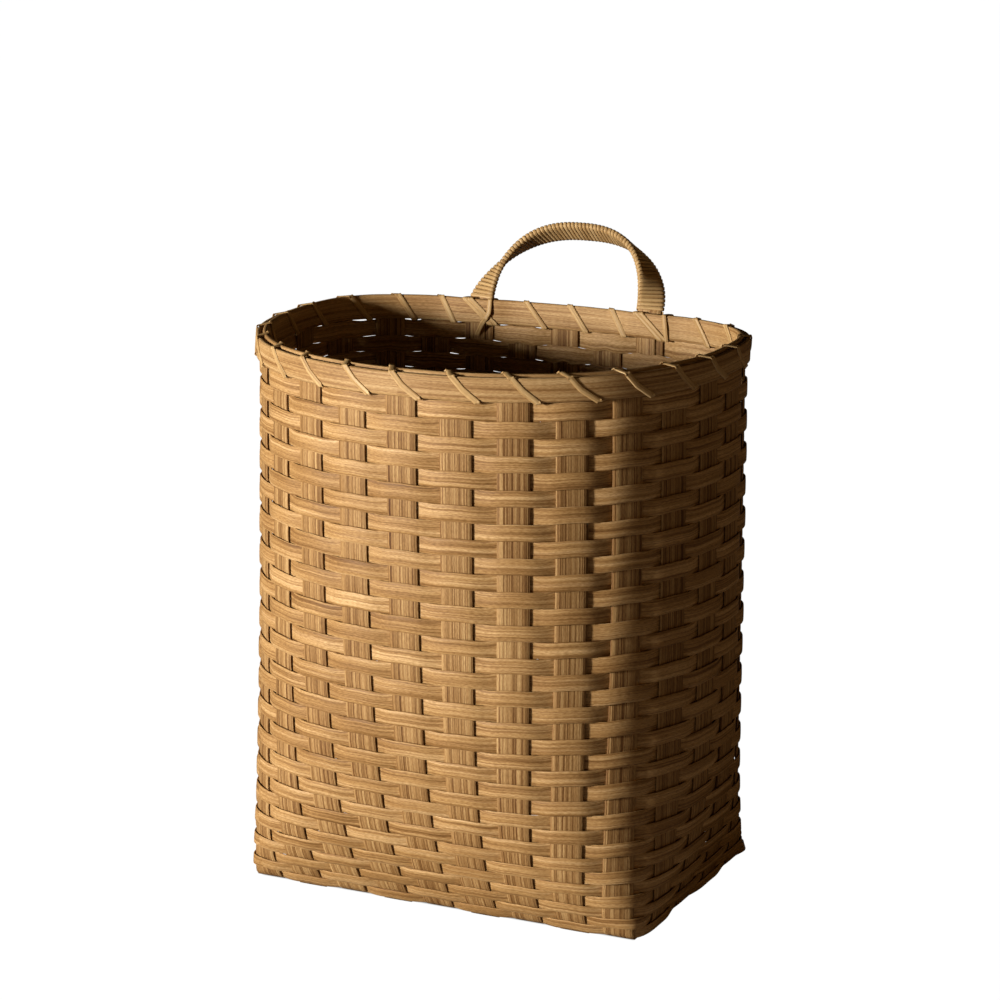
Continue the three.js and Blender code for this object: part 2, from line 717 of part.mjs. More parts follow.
function archSection(angle) {
  const { point, wide, thick } = archFrame(angle);
  const swell = Math.min(1, riseAt(angle) / coreSwell);
  const half = lerp(coreRimThickness, coreThickness, swell) / 2;
  const at = (side, face) => point.clone()
    .addScaledVector(wide, (side * coreWidth) / 2)
    .addScaledVector(thick, face * half);
  return [at(1, -1), at(0, -1), at(-1, -1), at(-1, 1), at(0, 1), at(1, 1)];
}

// The part of a leg below the arch: flat between the hoops, then a thin tail down inside the wall.
function legSections(leg, mirrored) {
  const slot = rimCorner(leg);
  const levels = [outerHoopTop, hoopFoot, wallTop];
  for (const ring of rings) {
    if (ring.z < wallTop && ring.z > jointHeight(tailRows)) levels.push(ring.z);
  }
  levels.push(jointHeight(tailRows));
  return levels.map((z) => {
    const atRim = z === outerHoopTop;
    const offset = atRim ? rimCoreOffset : tailOffset;
    const width = atRim ? coreWidth : tailWidth;
    const thickness = atRim ? coreRimThickness : tailThickness;
    return uprightSection(ringAt(z), slot, offset, width, thickness, mirrored);
  });
}

function addHandle() {
  const sections = [...legSections(legStakes[0], true).reverse()];
  for (let step = 1; step < archSteps; step += 1) sections.push(archSection((Math.PI * step) / archSteps));
  sections.push(...legSections(legStakes[1], false));
  add('handle_core', solidThrough(sections, false), hoopWood);

  const first = Math.asin((wrapStart / handleRise) ** (archTopRoundness / 2));
  const wrapStand = wrapClearance + caneThickness / 2;
  const halfWide = coreWidth / 2 + wrapStand;
  const halfThick = coreThickness / 2 + wrapStand;
  const outline = [
    [halfWide, -halfThick + caneBend], [halfWide, halfThick - caneBend],
    [halfWide - caneBend, halfThick], [-halfWide + caneBend, halfThick],
    [-halfWide, halfThick - caneBend], [-halfWide, -halfThick + caneBend],
    [-halfWide + caneBend, -halfThick], [halfWide - caneBend, -halfThick],
  ];
  const steps = wrapTurns * outline.length;
  const path = [];
  for (let step = 0; step <= steps; step += 1) {
    const { point, along, wide, thick } = archFrame(lerp(first, Math.PI - first, step / steps));
    const [sideways, outwards] = outline[step % outline.length];
    point.addScaledVector(wide, sideways).addScaledVector(thick, outwards);
    path.push({ point, wide: along });
  }
  addCane('handle_wrap', path, wrapWidth);
}

addStakes();
addWeavers();
addHoops();
addLashings();
addHandle();

// The basket stands on the floor with the middle of its outline at the origin.
const bounds = new THREE.Box3().setFromObject(basket);
const middle = bounds.getCenter(new THREE.Vector3());
basket.position.set(-middle.x, -middle.y, -bounds.min.z);

export default basket;
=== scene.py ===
import functools
import math

import bpy
import numpy as np
from mathutils import Matrix, Vector


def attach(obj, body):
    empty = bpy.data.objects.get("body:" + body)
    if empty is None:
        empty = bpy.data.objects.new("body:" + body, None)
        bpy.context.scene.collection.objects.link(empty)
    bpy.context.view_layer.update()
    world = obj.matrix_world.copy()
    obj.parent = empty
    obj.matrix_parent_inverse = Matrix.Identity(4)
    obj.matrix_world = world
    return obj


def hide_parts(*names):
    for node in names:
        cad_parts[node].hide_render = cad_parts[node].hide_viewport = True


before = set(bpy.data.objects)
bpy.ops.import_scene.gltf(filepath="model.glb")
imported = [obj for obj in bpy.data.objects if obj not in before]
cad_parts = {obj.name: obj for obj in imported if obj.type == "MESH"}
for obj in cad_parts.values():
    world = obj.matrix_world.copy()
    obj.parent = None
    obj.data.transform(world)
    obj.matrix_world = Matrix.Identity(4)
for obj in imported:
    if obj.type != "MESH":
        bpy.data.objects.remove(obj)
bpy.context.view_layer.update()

metre = 0.001  # the sizes below are in millimetres
wallCentre = (-0.14, 17.28)  # where the middle of the wall's plan stands in the frame
print("frame loaded")

# The wall is one smooth surface that every splint follows. Half lengths run left to right, front and
# back are depths from the plan's middle, and a roundness is a superellipse's exponent.
wall = dict(
    foot=3.4, height=458.5, rows=35, packing=0.082, packingPower=4.2,
    rimHalfLength=206, rimFront=188, rimBack=120,
    bellyHalfLength=214, bellyFront=186.7, bellyBack=118.5,
    baseHalfLength=185.5, baseFront=125.5, baseBack=120,
    frontRoundness=2.13, backRoundness=3.3, bellyRoundness=2.25, baseRoundness=40,
    squaringHeight=86.3, squaringPower=1.07, spreadPower=3,
    frontStakes=9, sideStakes=4,
    baseFrontPitch=42, baseSidePitch=56.5, rimFrontSpacing=1.039, rimBackSpacing=0.915, backShift=4,
)
wallTop = wall["foot"] + wall["height"]
stakeCount = 2 * (wall["frontStakes"] + wall["sideStakes"])
planSteps = 1440
frontCount, sideCount = wall["frontStakes"], wall["sideStakes"]
frontSteps = np.arange(frontCount) - (frontCount - 1) / 2
frontPlaces = frontSteps * wall["baseFrontPitch"]  # x of the front-to-back stakes on the base
sideMiddle = (wall["baseBack"] - wall["baseFront"]) / 2
sideSteps = np.arange(sideCount) - (sideCount - 1) / 2
sidePlaces = sideMiddle + sideSteps * wall["baseSidePitch"]  # y of the end-to-end stakes on the base


def clamped(value):
    return min(max(value, 0.0), 1.0)


# Height of the joint under a row, rows counted down from the rim: the row's share of the wall, pushed
# down by the packing, less near the floor, so that the lowest rows are the flattest.
def jointHeight(row):
    share = np.asarray(row, dtype=float) / wall["rows"]
    packed = 1 - np.abs(share) ** wall["packingPower"]
    return wallTop - wall["height"] * share * (1 + wall["packing"] * packed)


# Row number, with its fraction, at a height: the joints' heights read backwards.
def rowAt(z):
    rows = np.arange(-2, wall["rows"] + 1)
    return np.interp(z, jointHeight(rows)[::-1], rows[::-1])


# The wall's plan at one height: a superellipse in the angle, x = length cos^p and y = depth sin^p,
# whose half sizes and powers go from the base's to the belly's and the rim's. It also gives the
# distance walked along it from the front's middle.
@functools.lru_cache(maxsize=None)
def planAt(z):
    height = min(max(0.0, z - wall["foot"]), wall["height"])
    up = height / wall["height"]
    square = math.exp(-((height / wall["squaringHeight"]) ** wall["squaringPower"]))

    def blend(base, belly, rim):
        return (belly + (rim - belly) * up) * (1 - square) + base * square

    def power(rim):
        belly = wall["bellyRoundness"]
        return 2 * ((1 - square) / (belly + (rim - belly) * up) + square / wall["baseRoundness"])

    angle = np.linspace(-math.pi / 2, 1.5 * math.pi, planSteps + 1)
    across, along = np.cos(angle), np.sin(angle)
    across[[0, planSteps // 2, planSteps]] = 0
    front = along < 0
    depth = np.where(front, blend(wall["baseFront"], wall["bellyFront"], wall["rimFront"]),
                     blend(wall["baseBack"], wall["bellyBack"], wall["rimBack"]))
    exponent = np.where(front, power(wall["frontRoundness"]), power(wall["backRoundness"]))
    halfLength = blend(wall["baseHalfLength"], wall["bellyHalfLength"], wall["rimHalfLength"])
    x = halfLength * np.sign(across) * np.abs(across) ** exponent
    y = depth * np.sign(along) * np.abs(along) ** exponent
    walked = np.concatenate([[0], np.cumsum(np.hypot(np.diff(x), np.diff(y)))])
    return x, y, walked


# Points on the plan at shares of its girth, and the outward normals there: the tangent over a short
# step each way, turned a quarter.
def planPoints(z, shares, smoothing=2.0):
    x, y, walked = planAt(float(z))
    girth = walked[-1]

    def at(s):
        goal = np.mod(s, 1) * girth
        return np.stack([np.interp(goal, walked, x), np.interp(goal, walked, y)], axis=-1)

    shares = np.asarray(shares, dtype=float)
    tangent = at(shares + smoothing / girth) - at(shares - smoothing / girth)
    tangent /= np.linalg.norm(tangent, axis=-1, keepdims=True)
    return at(shares), np.stack([tangent[..., 1], -tangent[..., 0]], axis=-1), girth


# Share of the girth of every stake, at the base and at the rim. On the base the stakes are evenly
# pitched; at the rim they are spaced along the girth.
def stakeShares():
    x, y, walked = planAt(wall["foot"])
    half, quarter = planSteps // 2, planSteps // 4
    girth = walked[-1]
    rimGirth = planAt(wallTop)[2][-1]
    rimPitch = rimGirth / stakeCount
    reach = abs(frontPlaces)
    front = np.sign(frontPlaces) * np.interp(reach, x[:quarter + 1], walked[:quarter + 1]) / girth
    back = np.interp(reach, x[quarter:half + 1][::-1], walked[quarter:half + 1][::-1]) / girth
    back = np.where(frontPlaces[::-1] < 0, 1 - back, back)
    right = np.interp(sidePlaces, y[:half + 1], walked[:half + 1]) / girth
    rimFront = frontSteps * rimPitch * wall["rimFrontSpacing"]
    rimBack = rimGirth / 2 - wall["backShift"] + frontSteps * rimPitch * wall["rimBackSpacing"]
    part = np.arange(1, sideCount + 1) / (sideCount + 1)
    rimRight = rimFront[-1] + (rimBack[0] - rimFront[-1]) * part
    rimLeft = rimBack[-1] + (rimGirth + rimFront[0] - rimBack[-1]) * part
    atBase = np.concatenate([front, right, back, 1 - right[::-1]])
    atRim = np.concatenate([rimFront, rimRight, rimBack, rimLeft]) / rimGirth
    return atBase, atRim


shareAtBase, shareAtRim = stakeShares()


# Shares at a height: base share + (rim share - base share) (1 - (1 - up)^power), so the stakes spread
# most near the floor.
def sharesAt(z):
    up = clamped((z - wall["foot"]) / wall["height"])
    return shareAtBase + (shareAtRim - shareAtBase) * (1 - (1 - up) ** wall["spreadPower"])


# A strip's section in its own width and thickness, anticlockwise: an upper face crowned by
# 1 - (2x / width)^2, a flat lower face, and two eased edges.
def stripSection(width, thickness, crown=0.0, edge=0.35, across=5):
    x = np.linspace(-1, 1, across) * (width / 2 - edge)
    face = thickness / 2 + crown * (1 - (2 * x / width) ** 2)
    low = -thickness / 2 - 0 * x
    side = thickness / 2 - min(edge, thickness * 0.3)
    points = [np.stack([x[::-1], face[::-1]], -1), [[-width / 2, side], [-width / 2, -side]],
              np.stack([x, low], -1), [[width / 2, -side], [width / 2, side]]]
    return np.concatenate([np.asarray(p) for p in points])


# A smooth skin over a grid of points, sections along by points round, capped at its ends if it is open.
# U runs along it and V round it, both in metres; the lane keeps the grain of pieces apart.
def skin(name, grid, closed=False, lane=0.0):
    grid = np.asarray(grid, dtype=float)
    n, m = grid.shape[:2]
    verts = grid.reshape(-1, 3) + np.array([*wallCentre, 0])
    i, k = np.meshgrid(np.arange(n if closed else n - 1), np.arange(m), indexing="ij")
    nextRow, nextPoint = (i + 1) % n, (k + 1) % m
    quads = np.stack([i * m + k, i * m + nextPoint, nextRow * m + nextPoint, nextRow * m + k], -1)
    quads = quads.reshape(-1, 4)
    centre = grid.mean(axis=1)
    middle = n // 2
    around = grid[middle] - centre[middle]
    turning = np.cross(around, np.roll(around, -1, axis=0)).sum(axis=0)
    flip = np.dot(turning, centre[(middle + 1) % n] - centre[middle]) < 0
    step = np.linalg.norm(np.diff(centre, axis=0, append=centre[:1]), axis=1)
    u = np.concatenate([[0], np.cumsum(step)])
    v = np.concatenate([[0], np.cumsum(np.linalg.norm(np.roll(around, -1, axis=0) - around, axis=1))])
    corner = np.stack([np.stack([u[i], v[k]], -1), np.stack([u[i], v[k + 1]], -1),
                       np.stack([u[i + 1], v[k + 1]], -1), np.stack([u[i + 1], v[k]], -1)], axis=2)
    uv = corner.reshape(-1, 4, 2)
    if flip:
        quads, uv = quads[:, ::-1], uv[:, ::-1]
    faces = quads.tolist()
    uvs = uv.reshape(-1, 2) * metre + np.array([0, lane])
    if not closed:
        first, last = list(range(m)), list(range((n - 1) * m, n * m))
        faces.append(first if flip else first[::-1])
        faces.append(last[::-1] if flip else last)
        ends = np.stack([v[:-1] * 0, v[:-1]], -1) * metre + np.array([0, lane])
        uvs = np.concatenate([uvs, ends, ends])
    mesh = bpy.data.meshes.new(name)
    mesh.from_pydata((verts * metre).tolist(), [], faces)
    layer = mesh.uv_layers.new(name="grain")
    layer.data.foreach_set("uv", uvs.ravel())
    smooth = np.ones(len(faces), dtype=bool)
    if not closed:
        smooth[-2:] = False
    mesh.polygons.foreach_set("use_smooth", smooth)
    mesh.update()
    piece = bpy.data.objects.new(name, mesh)
    bpy.context.scene.collection.objects.link(piece)
    return piece


# A section carried along a path: point + width direction * x + thickness direction * y, with x and y
# scaled by the taper's two columns.
def sweep(name, path, wide, thick, section, closed=False, lane=0.0, taper=None):
    scale = np.ones((len(path), 2)) if taper is None else np.asarray(taper)
    grid = (path[:, None] + wide[:, None] * (section[:, 0][None, :, None] * scale[:, None, 0:1])
            + thick[:, None] * (section[:, 1][None, :, None] * scale[:, None, 1:2]))
    return skin(name, grid, closed, lane)


# Unit directions along a path: the difference between each point's neighbours.
def directions(path, closed=False):
    if closed:
        along = np.roll(path, -1, axis=0) - np.roll(path, 1, axis=0)
    else:
        along = np.gradient(path, axis=0)
    return along / np.linalg.norm(along, axis=1, keepdims=True)


def unit(vectors):
    return vectors / np.linalg.norm(vectors, axis=-1, keepdims=True)


# Directions made square to a path: the part along the path is taken away.
def squared(vectors, along):
    return unit(vectors - along * np.sum(vectors * along, axis=-1, keepdims=True))


# A path with its corners rounded: each pass cuts every corner at a quarter of both its sides.
def rounded(path, passes=3, cut=0.25):
    path = np.asarray(path, dtype=float)
    for _ in range(passes):
        a, b = path[:-1], path[1:]
        pairs = np.stack([a * (1 - cut) + b * cut, a * cut + b * (1 - cut)], axis=1)
        path = np.concatenate([path[:1], pairs.reshape(-1, path.shape[1])[1:-1], path[-1:]])
    return path


woods = {
    # The stake's tones are the splint's own tones darkened to about four fifths of the weaver's: painted
    # shade for the stakes sunk between the weavers.
    "stake": dict(
        dark=(0.22, 0.108, 0.031), mid=(0.37, 0.210, 0.078), pale=(0.52, 0.330, 0.142),
        tones=(0.30, 0.48, 0.68), lines=330, stretch=3,
        lineDepth=1.0, fleckDepth=0.8, roughness=0.66, bump=0.5,
    ),
    "weaver": dict(
        dark=(0.29, 0.150, 0.048), mid=(0.46, 0.268, 0.102), pale=(0.66, 0.430, 0.205),
        tones=(0.28, 0.48, 0.70), lines=250, stretch=3.5,
        lineDepth=0.6, fleckDepth=1.0, roughness=0.58, bump=0.4,
    ),
    "hoop": dict(
        dark=(0.29, 0.150, 0.050), mid=(0.45, 0.268, 0.108), pale=(0.56, 0.365, 0.170),
        tones=(0.32, 0.47, 0.66), lines=280, stretch=5,
        lineDepth=0.45, fleckDepth=0.9, roughness=0.60, bump=0.3,
    ),
    "cane": dict(
        dark=(0.36, 0.21, 0.080), mid=(0.53, 0.34, 0.145), pale=(0.62, 0.43, 0.21),
        tones=(0.30, 0.47, 0.66), lines=500, stretch=8,
        lineDepth=0.3, fleckDepth=0.5, roughness=0.48, bump=0.15,
    ),
}
grain = dict(
    lineStretch=1.5, lineFineness=3.1, lineTones=(0.37, 0.49), lineShade=(0.42, 0.31, 0.20),
    fleckScale=(260, 1700), fleckTones=(0.36, 0.62), fleckShade=(0.66, 0.60, 0.52), fleckHeight=0.4,
    stainScale=(16, 22), stainTones=(0.3, 0.66), stainShade=(0.76, 0.70, 0.62), stainDepth=0.8,
    specular=0.2, bumpDistance=0.0006,
)


# Fills the inputs of a shader node, each with a value or with a link.
def fill(tree, node, inputs):
    for name, value in inputs.items():
        if isinstance(value, bpy.types.NodeSocket):
            tree.links.new(value, node.inputs[name])
        else:
            node.inputs[name].default_value = value
    return node


# Adds a shader node, with its properties set before its inputs.
def addNode(tree, kind, inputs=None, **properties):
    node = tree.nodes.new(kind)
    for name, value in properties.items():
        setattr(node, name, value)
    return fill(tree, node, inputs or {})


# Splint wood: broad bands of dark, middle and pale tone along the splint, thin dark grain lines of
# uneven strength, short flecks of fibre, and a slow stain from place to place. The lines and the
# flecks are raised too.
def splintWood(name, values):
    wood = bpy.data.materials.new(name)
    wood.use_nodes = True
    tree = wood.node_tree
    uv = addNode(tree, "ShaderNodeUVMap", uv_map="grain").outputs["UV"]

    def noise(along, across, detail):
        mapping = addNode(tree, "ShaderNodeMapping", {"Scale": (along, across, 1), "Vector": uv})
        inputs = {"Scale": 1.0, "Detail": detail, "Vector": mapping.outputs["Vector"]}
        return addNode(tree, "ShaderNodeTexNoise", inputs).outputs["Fac"]

    def ramp(value, positions, colours):
        mixer = addNode(tree, "ShaderNodeValToRGB", {"Fac": value})
        elements = mixer.color_ramp.elements
        while len(elements) < len(positions):
            elements.new(0.5)
        for element, position, colour in zip(elements, positions, colours):
            element.position = position
            element.color = (*colour, 1)
        return mixer.outputs["Color"]

    def shaded(colour, value, positions, shade, depth):
        inputs = {"Factor": depth, "A": colour, "B": ramp(value, positions, (shade, (1, 1, 1)))}
        mixer = addNode(tree, "ShaderNodeMix", inputs, data_type="RGBA", blend_type="MULTIPLY")
        return mixer.outputs["Result"]

    bands = noise(values["stretch"], values["lines"], 2)
    lines = noise(values["stretch"] * grain["lineStretch"], values["lines"] * grain["lineFineness"], 1)
    fleck = noise(*grain["fleckScale"], 2)
    stain = noise(*grain["stainScale"], 2)
    colour = ramp(bands, values["tones"], (values["dark"], values["mid"], values["pale"]))
    colour = shaded(colour, lines, grain["lineTones"], grain["lineShade"], values["lineDepth"])
    colour = shaded(colour, fleck, grain["fleckTones"], grain["fleckShade"], values["fleckDepth"])
    colour = shaded(colour, stain, grain["stainTones"], grain["stainShade"], grain["stainDepth"])
    height = addNode(tree, "ShaderNodeMath", {0: fleck, 1: grain["fleckHeight"], 2: lines},
                     operation="MULTIPLY_ADD")
    bump = addNode(tree, "ShaderNodeBump", {
        "Strength": values["bump"], "Distance": grain["bumpDistance"],
        "Height": height.outputs["Value"]})
    fill(tree, tree.nodes["Principled BSDF"], {
        "Base Color": colour, "Roughness": values["roughness"], "Specular IOR Level": grain["specular"],
        "Normal": bump.outputs["Normal"]})
    return wood


finishes = {name: splintWood(name + "Wood", values) for name, values in woods.items()}
print("materials made")


# Dresses a piece in a finish, rides it on the basket and lets it stand for its node.
def place(piece, finish, node):
    piece.data.materials.append(finishes[finish])
    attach(piece, "root")
    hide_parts(node)
    return piece


stake = dict(
    width=27, thickness=1.4, crown=0.12, edge=0.3, across=7, sway=0.35, calmTop=10, calmFoot=8,
    stepsPerRow=5, baseStep=3.0, inset=3.5, lowest=2.2, sag=0.86, lane=1, endLane=5, laneStep=0.31,
)
rim = dict(
    hoopThickness=4, lift=2, outerHeight=20, innerHeight=22, fillerHeight=3, fillerDrop=1.0,
    clearance=0.3, legBulge=3.2, legReach=26, sections=720, crown=0.25, edge=0.8, across=9,
    uneven=0.05, unevenWaves=(5, 40), outerLane=30.1, innerLane=31.7, fillerLane=33.3,
)
hoopFoot = wallTop + rim["lift"]
outerTop = hoopFoot + rim["outerHeight"]
innerTop = hoopFoot + rim["innerHeight"]
stakeTop = outerTop - rim["fillerDrop"] - rim["fillerHeight"] - rim["clearance"]


# The wall part of a stake, from its top down to just above the floor: the section laid along the plan
# at each height, so that the splint bends with the wall. It sways in and out by a cosine of the row.
def stakeWall(index, section, side):
    lowest = wall["foot"] + stake["lowest"]
    count = int(wall["rows"] * stake["stepsPerRow"])
    heights = np.concatenate([[stakeTop, (stakeTop + wallTop) / 2], np.linspace(wallTop, lowest, count)])
    rings = []
    for z in heights:
        girth = planAt(float(z))[2][-1]
        at, out, _ = planPoints(z, sharesAt(z)[index] + side * section[:, 0] / girth, smoothing=3)
        calm = clamped((wallTop - z) / stake["calmTop"])
        calm *= clamped((z - wall["foot"]) / stake["calmFoot"])
        push = -stake["sway"] * (-1) ** index * math.cos(math.pi * (rowAt(z) + 0.5)) * calm
        rings.append(np.column_stack([at + out * (section[:, 1:] + push), np.full(len(section), z)]))
    return np.array(rings)


# One U: down a wall, across the base over one strip and under the next, and up the far wall.
# On the base its height is middle + sag cos(pi n) between the low and the high crossing, n the number
# of strips passed.
def buildStake(name, node, start, end, crossings, phase, lane):
    across = stake["across"]
    section = stripSection(stake["width"], stake["thickness"], stake["crown"], stake["edge"], across)
    down = stakeWall(start, section, 1)
    up = stakeWall(end, section, -1)[::-1]
    a = planPoints(wall["foot"], shareAtBase[start])[0]
    b = planPoints(wall["foot"], shareAtBase[end])[0]
    length = np.linalg.norm(b - a)
    along = (b - a) / length
    distance = np.linspace(stake["inset"], length - stake["inset"], int(length / stake["baseStep"]))
    reached = (crossings - a) @ along
    passed = np.interp(distance, reached, np.arange(len(reached)))
    low, high = stake["thickness"] / 2, stake["thickness"] * 1.5 + rim["clearance"]
    z = (low + high) / 2 + (high - low) / 2 * stake["sag"] * np.cos(math.pi * (passed + phase))
    path = np.column_stack([a + along * distance[:, None], z])
    tangent = directions(path)
    wide = np.tile([-along[1], along[0], 0.0], (len(path), 1))
    if np.dot(wide[0], down[-1, 0] - down[-1, across - 1]) < 0:
        wide = -wide
    thick = np.cross(tangent, wide)
    thick = thick * -np.sign(thick[:, 2:])
    flat = path[:, None] + wide[:, None] * section[None, :, :1] + thick[:, None] * section[None, :, 1:]
    return place(skin(name, np.concatenate([down, flat, up]), lane=lane), "stake", node)


firstRight, firstBack = frontCount, frontCount + sideCount
for i in range(frontCount):
    crossings = np.column_stack([np.full(sideCount, frontPlaces[i]), sidePlaces])
    opposite = firstBack + frontCount - 1 - i
    buildStake(f"stakeFrontToBack{i + 1}", f"stake_front_to_back_{i + 1}", i, opposite,
               crossings, i % 2, lane=stake["laneStep"] * i + stake["lane"])
for j in range(sideCount):
    crossings = np.column_stack([frontPlaces, np.full(frontCount, sidePlaces[j])])
    buildStake(f"stakeEndToEnd{j + 1}", f"stake_end_to_end_{j + 1}", stakeCount - 1 - j, firstRight + j,
               crossings, (j + 1) % 2, lane=stake["laneStep"] * j + stake["endLane"])
print("stakes woven across the base and raised")

weaver = dict(
    thickness=1.1, crown=0.16, edge=0.35, across=5, nominal=12.0, stepsPerGap=16,
    stand=0.12, swayRoom=0.5, arch=0.45, archSpread=0.3, archSeed=500, steepness=0.3, hump=0.5, gap=0.12,
    wander=0.2, wanderWaves=(3, 15), wanderSeed=100, slack=0.5, slackRows=7, slackAt=0.62, slackSeed=900,
    innerRise=1.5, innerDrop=1.4, topRise=1.4, backEase=0.5, lane=9, laneStep=0.37,
)


# Smooth wander of a row joint along the girth: a sum of sine waves with drawn sizes and phases.
def wander(row, shares):
    draws = np.random.default_rng(weaver["wanderSeed"] + row)
    waves = np.arange(*weaver["wanderWaves"])
    phase = draws.uniform(0, 2 * math.pi, len(waves))
    size = draws.uniform(0.3, 1.0, len(waves)) / np.sqrt(waves)
    return np.sum(size[:, None] * np.sin(2 * math.pi * waves[:, None] * shares + phase[:, None]), axis=0)


# Nearness to the back left, from 0 to 1: a squared cosine round the girth.
def nearBackLeft(shares):
    return np.clip(np.cos(2 * math.pi * (shares - weaver["slackAt"])), 0, 1) ** 2


# Slack between two rows: the top rows lie a little loose in some of the gaps at the back left.
def slack(row, shares, index):
    draws = np.random.default_rng(weaver["slackSeed"] + row).uniform(0, 1, stakeCount) ** 2
    nearTop = clamped(1 - (row - 1) / weaver["slackRows"])
    return weaver["slack"] * draws[index] * nearBackLeft(shares) * nearTop


# One weaver: round the wall it stands off by A curve(cos(pi t)) between neighbouring stakes, out over
# one stake and in behind the next, where curve(c) = c (1 + steepness (1 - c^2)). Its joints rise at the
# stakes and sink between them. Where it is inside, its edges spread beside the stakes, which narrows
# the view through the wall.
def buildWeaver(row):
    steps = weaver["stepsPerGap"]
    middleHeight = float(jointHeight(row - 0.5))
    stakes = sharesAt(middleHeight)
    order = np.concatenate([stakes, [stakes[0] + 1]])
    part = np.tile(np.arange(steps) / steps, stakeCount)
    index = np.repeat(np.arange(stakeCount), steps)
    shares = order[index] + np.diff(order)[index] * part
    gaps = np.diff(order) * planAt(middleHeight)[2][-1]
    room = weaver["stand"] + stake["sway"] * weaver["swayRoom"]
    touch = (stake["thickness"] + weaver["thickness"]) / 2 + room
    draws = np.random.default_rng(weaver["archSeed"] + row)

    def curve(c):
        return c * (1 + weaver["steepness"] * (1 - c * c))

    nearest = np.minimum(gaps, np.roll(gaps, 1))
    edge = curve(np.cos(math.pi * stake["width"] / 2 / nearest))
    stand = touch / edge + weaver["arch"] + weaver["archSpread"] * draws.uniform(-1, 1, stakeCount)
    amplitude = stand[index] * (1 - part) + stand[(index + 1) % stakeCount] * part
    sign = np.where((index + row) % 2 == 0, 1, -1)
    offset = sign * amplitude * curve(np.cos(math.pi * part))
    hump = weaver["hump"] * np.cos(2 * math.pi * part)
    ends = []
    for joint, towards in ((row, 1), (row - 1, -1)):
        level = float(jointHeight(joint))
        at, out, _ = planPoints(level, shares, smoothing=4)
        shift = weaver["wander"] * wander(joint, shares) + hump
        shift += towards * (weaver["gap"] + slack(joint, shares, index)) / 2
        ends.append(np.column_stack([at + out * offset[:, None], level + shift]))
    low, high = ends
    ease = 1 - weaver["backEase"] * nearBackLeft(shares)
    inner = (offset < 0) * np.sin(2 * math.pi * part) ** 2
    topRise = weaver["topRise"] if row == 1 else 0
    high[:, 2] += ease * (weaver["innerRise"] * inner + topRise)
    if row < wall["rows"]:
        low[:, 2] -= weaver["innerDrop"] * inner
    middle = (low + high) / 2
    width = np.linalg.norm(high - low, axis=1)
    tangent = directions(middle, closed=True)
    wide = squared(high - low, tangent)
    thick = np.cross(tangent, wide)
    section = stripSection(weaver["nominal"], weaver["thickness"], weaver["crown"], weaver["edge"],
                           weaver["across"])
    taper = np.column_stack([width / weaver["nominal"], np.ones(len(width))])
    lane = weaver["laneStep"] * row + weaver["lane"]
    piece = sweep(f"weaverRow{row:02d}", middle, wide, thick, section,
                  closed=True, lane=lane, taper=taper)
    return place(piece, "weaver", f"weaver_row_{row:02d}")


for row in range(1, wall["rows"] + 1):
    buildWeaver(row)
print("weavers woven")

hoopOffset = stake["thickness"] / 2 + rim["clearance"] + rim["hoopThickness"] / 2
backMiddle = firstBack + (frontCount - 1) // 2
legStakes = (backMiddle + 2, backMiddle - 2)  # left leg, right leg


# Extra inward room of the inner hoop at shares of the rim: at each handle leg a hill of
# exp(-(distance / reach)^4).
def legRoom(shares, girth):
    room = np.zeros(len(shares))
    for leg in legStakes:
        away = (np.mod(shares - shareAtRim[leg] + 0.5, 1) - 0.5) * girth
        room += rim["legBulge"] * np.exp(-((away / rim["legReach"]) ** 4))
    return room


# A hoop: an upright strip carried round the rim's plan at an offset, its height a little uneven by a
# sum of sine waves.
def buildHoop(name, node, offset, bottom, top, thickness, finish, lane, inner=False):
    shares = np.arange(rim["sections"]) / rim["sections"]
    at, out, girth = planPoints(wallTop, shares, smoothing=6)
    away = np.full(len(shares), offset)
    if inner:
        away = away - legRoom(shares, girth)
    middle = np.column_stack([at + out * away[:, None], np.full(len(shares), (bottom + top) / 2)])
    draws = np.random.default_rng(int(lane * 100) + 3)
    waves = np.arange(*rim["unevenWaves"])
    sway = (draws.uniform(0.2, 1, len(waves)) / waves)[:, None] * np.sin(
        2 * math.pi * waves[:, None] * shares + draws.uniform(0, 2 * math.pi, len(waves))[:, None])
    taper = np.column_stack([1 + rim["uneven"] * sway.sum(axis=0), np.ones(len(shares))])
    tangent = directions(middle, closed=True)
    wide = np.tile([0.0, 0.0, 1.0], (len(shares), 1))
    thick = np.cross(tangent, wide)
    section = stripSection(top - bottom, thickness, rim["crown"], rim["edge"], rim["across"])
    piece = sweep(name, middle, wide, thick, section, closed=True, lane=lane, taper=taper)
    return place(piece, finish, node)


buildHoop("outerHoop", "rim_outer_hoop", hoopOffset, hoopFoot, outerTop, rim["hoopThickness"], "hoop",
          rim["outerLane"])
buildHoop("innerHoop", "rim_inner_hoop", -hoopOffset, hoopFoot, innerTop, rim["hoopThickness"], "hoop",
          rim["innerLane"], inner=True)
fillerTop = outerTop - rim["fillerDrop"]
buildHoop("rimFiller", "rim_filler", 0.0, fillerTop - rim["fillerHeight"], fillerTop, stake["thickness"],
          "stake", rim["fillerLane"])
print("hoops fitted")

# Places on the rim are stake numbers with a fraction, counted to the right along the front.
cane = dict(
    width=5.2, thickness=0.7, crown=0.55, edge=0.3, across=7, stand=0.2,
    insideLead=-0.17, outsideLead=-0.06, halfway=0.13, through=0.42, jitter=0.05,
    start=0.53, tuck=0.15, tucked=5, stops=(0, 0.15, 0.5, 0.85), frontLane=41.0, backLane=43.0,
)
